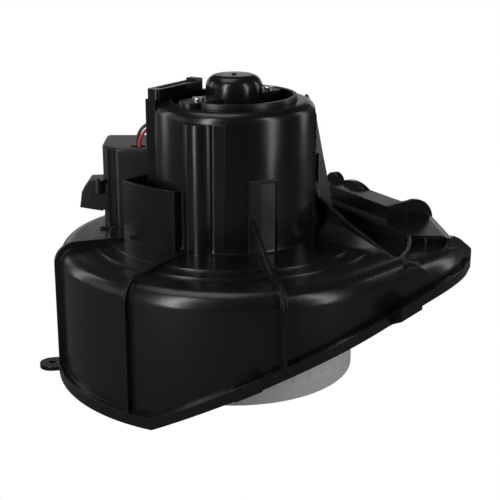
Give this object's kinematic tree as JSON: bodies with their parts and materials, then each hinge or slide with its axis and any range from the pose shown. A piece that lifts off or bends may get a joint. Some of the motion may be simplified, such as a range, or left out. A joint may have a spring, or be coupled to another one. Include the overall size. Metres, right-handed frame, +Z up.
{
  "type": "blower motor",
  "caption": "Car cabin heater blower: a motor cup on a black scroll cover, a squirrel cage wheel below it, and a speed regulator with its connector beside the cup.",
  "frame": {"origin": "on the motor's axis, in the plane of the wheel's inlet edge", "axes": "+Z up along the motor's axis, from the wheel to the motor; -Y towards the side with the inspection pocket; +X towards the low tray"},
  "size_m": [0.2591, 0.2184, 0.1717],
  "materials": {
    "cover": "satin",
    "cap": "satin",
    "dome": "satin",
    "case": "satin",
    "wheel": "satin",
    "steel": "brushed",
    "zinc": "satin",
    "laminations": "satin",
    "ferrite": "matte",
    "copper": "satin",
    "brass": "satin",
    "bronze": "satin",
    "graphite": "matte",
    "phenolic": "satin",
    "rubber": "matte",
    "aluminium": "satin",
    "board": "satin",
    "chip": "satin",
    "red_insulation": "satin",
    "black_insulation": "satin"
  },
  "bodies": {
    "housing": {"scroll_cover": "cover", "motor_can": "steel", "magnets": "ferrite", "magnet_clips": "steel", "damper_sleeve": "rubber", "end_cap": "cap", "bearing_dome": "dome", "ear_screws": "zinc", "front_bearing": "bronze", "rear_bearing": "bronze", "bearing_retainers": "steel", "brush_plate": "phenolic", "brush_boxes": "brass", "brush_spring_left": "steel", "brush_spring_right": "steel", "suppression_chokes": "copper", "regulator_case": "case", "regulator_board": "board", "regulator_screws": "zinc", "regulator_transistor": "chip", "heat_sink": "aluminium", "connector_shell": "case", "connector_pins": "brass", "red_lead": "red_insulation", "black_lead": "black_insulation", "lead_grommet": "rubber", "lead_terminals": "brass"},
    "rotor": {"shaft": "steel", "armature_core": "laminations", "armature_windings": "copper", "commutator_core": "phenolic", "commutator_bars": "copper", "thrust_washers": "phenolic", "wheel": "wheel", "wheel_insert": "brass", "hub_clip": "steel", "balance_clip": "steel"},
    "left_brush": {"brush_left": "graphite"},
    "right_brush": {"brush_right": "graphite"}
  },
  "joints": [
    {"name": "rotor_spin", "type": "hinge", "parent": "housing", "child": "rotor", "pos_m": [0, 0, 0], "axis": [0, 0, 1], "continuous": true},
    {"name": "brush_left_slide", "type": "slide", "parent": "housing", "child": "left_brush", "axis": [-1, 0, 0], "range_m": [0, 0.004], "stiffness_N_per_m": 60, "springref_m": -0.006, "deforming": ["brush_spring_left"]},
    {"name": "brush_right_slide", "type": "slide", "parent": "housing", "child": "right_brush", "axis": [1, 0, 0], "range_m": [0, 0.004], "stiffness_N_per_m": 60, "springref_m": -0.006, "deforming": ["brush_spring_right"]}
  ]
}
